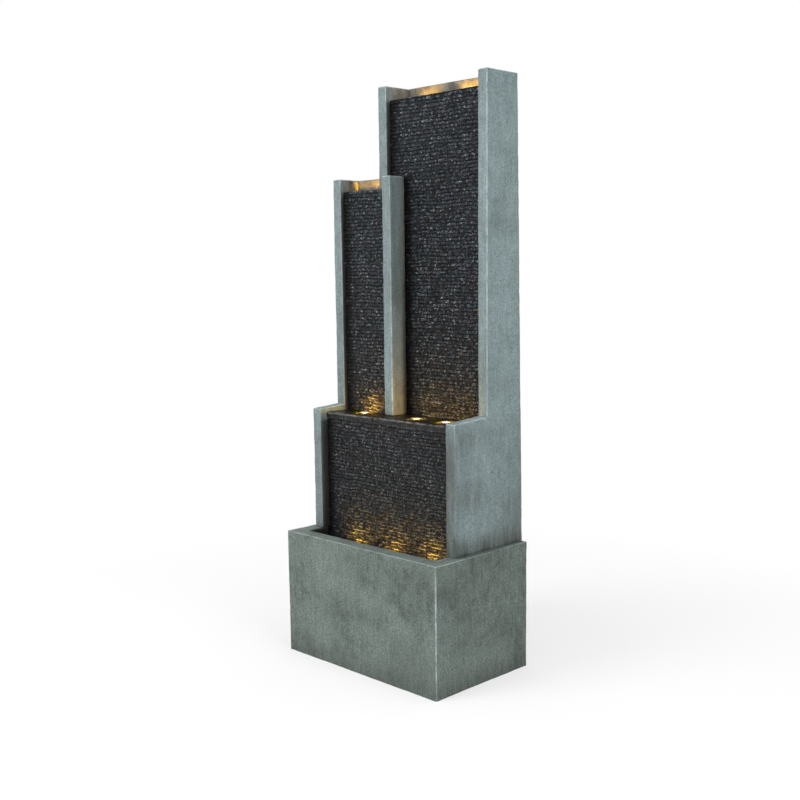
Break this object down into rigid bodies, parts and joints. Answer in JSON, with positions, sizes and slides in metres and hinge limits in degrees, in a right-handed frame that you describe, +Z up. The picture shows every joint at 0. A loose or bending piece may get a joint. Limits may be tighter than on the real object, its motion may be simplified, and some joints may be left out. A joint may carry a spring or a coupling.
{
  "type": "garden fountain",
  "caption": "Three-tier garden fountain: cast basin, stepped tower with rippled dark water panels, troughs, lamps, pump, hoses and a rear access door.",
  "frame": {"origin": "middle of the basin's footprint on the ground", "axes": "+X to the right seen from the front, the front faces -Y, +Z up"},
  "size_m": [0.676, 0.409, 1.798],
  "materials": {
    "basin_cement": "matte",
    "tower_cement": "matte",
    "wet_slate": "gloss",
    "black_plastic": "satin",
    "blue_plastic": "satin",
    "red_plastic": "satin",
    "rotor_plastic": "satin",
    "shaft_ceramic": "polished",
    "black_rubber": "matte",
    "clear_rubber": "satin",
    "hose_rubber": "satin",
    "lead_rubber": "satin",
    "red_rubber": "matte",
    "steel": "satin",
    "brass": "satin",
    "lamp_lens": "gloss"
  },
  "bodies": {
    "fountain": {"basin": "basin_cement", "tower_shell": "tower_cement", "rear_panel": "tower_cement", "divider_wall": "tower_cement", "ledge_slab": "wet_slate", "lower_panel": "wet_slate", "short_panel": "wet_slate", "tall_panel": "wet_slate", "panel_battens": "tower_cement", "short_trough": "black_plastic", "tall_trough": "black_plastic", "ledge_lamp_1_housing": "black_plastic", "ledge_lamp_2_housing": "black_plastic", "ledge_lamp_3_housing": "black_plastic", "ledge_lamp_1_lens": "lamp_lens", "ledge_lamp_2_lens": "lamp_lens", "ledge_lamp_3_lens": "lamp_lens", "ledge_lamp_bezels": "steel", "basin_lamp_1_housing": "black_plastic", "basin_lamp_2_housing": "black_plastic", "basin_lamp_3_housing": "black_plastic", "basin_lamp_1_lens": "lamp_lens", "basin_lamp_2_lens": "lamp_lens", "basin_lamp_3_lens": "lamp_lens", "basin_lamp_suction_cups": "clear_rubber", "short_trough_lamp_housings": "black_plastic", "short_trough_lamp_lenses": "lamp_lens", "tall_trough_lamp_housings": "black_plastic", "tall_trough_lamp_lenses": "lamp_lens", "lamp_junction": "black_plastic", "ledge_lamp_leads": "lead_rubber", "basin_lamp_leads": "lead_rubber", "trough_lamp_leads": "lead_rubber", "pump_housing": "black_plastic", "pump_cover": "black_plastic", "pump_shaft": "shaft_ceramic", "pump_bushes": "black_rubber", "pump_suction_feet": "black_rubber", "riser_hose": "hose_rubber", "short_hose": "hose_rubber", "tall_hose": "hose_rubber", "hose_tee": "black_plastic", "short_inlet": "black_plastic", "tall_inlet": "black_plastic", "hose_clamps": "steel", "door_inserts": "brass", "cable_grommet": "black_rubber", "drain_bush": "black_rubber"},
    "rotor": {"pump_rotor": "rotor_plastic"},
    "strainer": {"pump_strainer": "black_plastic"},
    "flow_knob": {"pump_flow_knob": "blue_plastic"},
    "tee_valve": {"tee_plug": "steel", "tee_lever": "red_plastic"},
    "door": {"access_door": "tower_cement", "door_gasket": "black_rubber", "door_screws": "steel"},
    "stopper": {"drain_plug": "red_rubber"}
  },
  "joints": [
    {"name": "rotor_spin", "type": "hinge", "parent": "fountain", "child": "rotor", "pos_m": [-0.0405, 0.06085, 0.082], "axis": [1, 0, 0], "continuous": true},
    {"name": "strainer_pull", "type": "slide", "parent": "fountain", "child": "strainer", "axis": [-1, 0, 0], "range_m": [0, 0.05]},
    {"name": "flow_knob_turn", "type": "hinge", "parent": "strainer", "child": "flow_knob", "pos_m": [-0.0955, 0.06085, 0.082], "axis": [1, 0, 0], "range_deg": [0, 90]},
    {"name": "tee_valve_turn", "type": "hinge", "parent": "fountain", "child": "tee_valve", "pos_m": [-0.0785, 0.06085, 0.54], "axis": [0, 1, 0], "range_deg": [0, 90]},
    {"name": "door_pull", "type": "slide", "parent": "fountain", "child": "door", "axis": [0, 1, 0], "range_m": [0, 0.05]},
    {"name": "stopper_pull", "type": "slide", "parent": "fountain", "child": "stopper", "axis": [0, 1, 0], "range_m": [0, 0.05]}
  ]
}
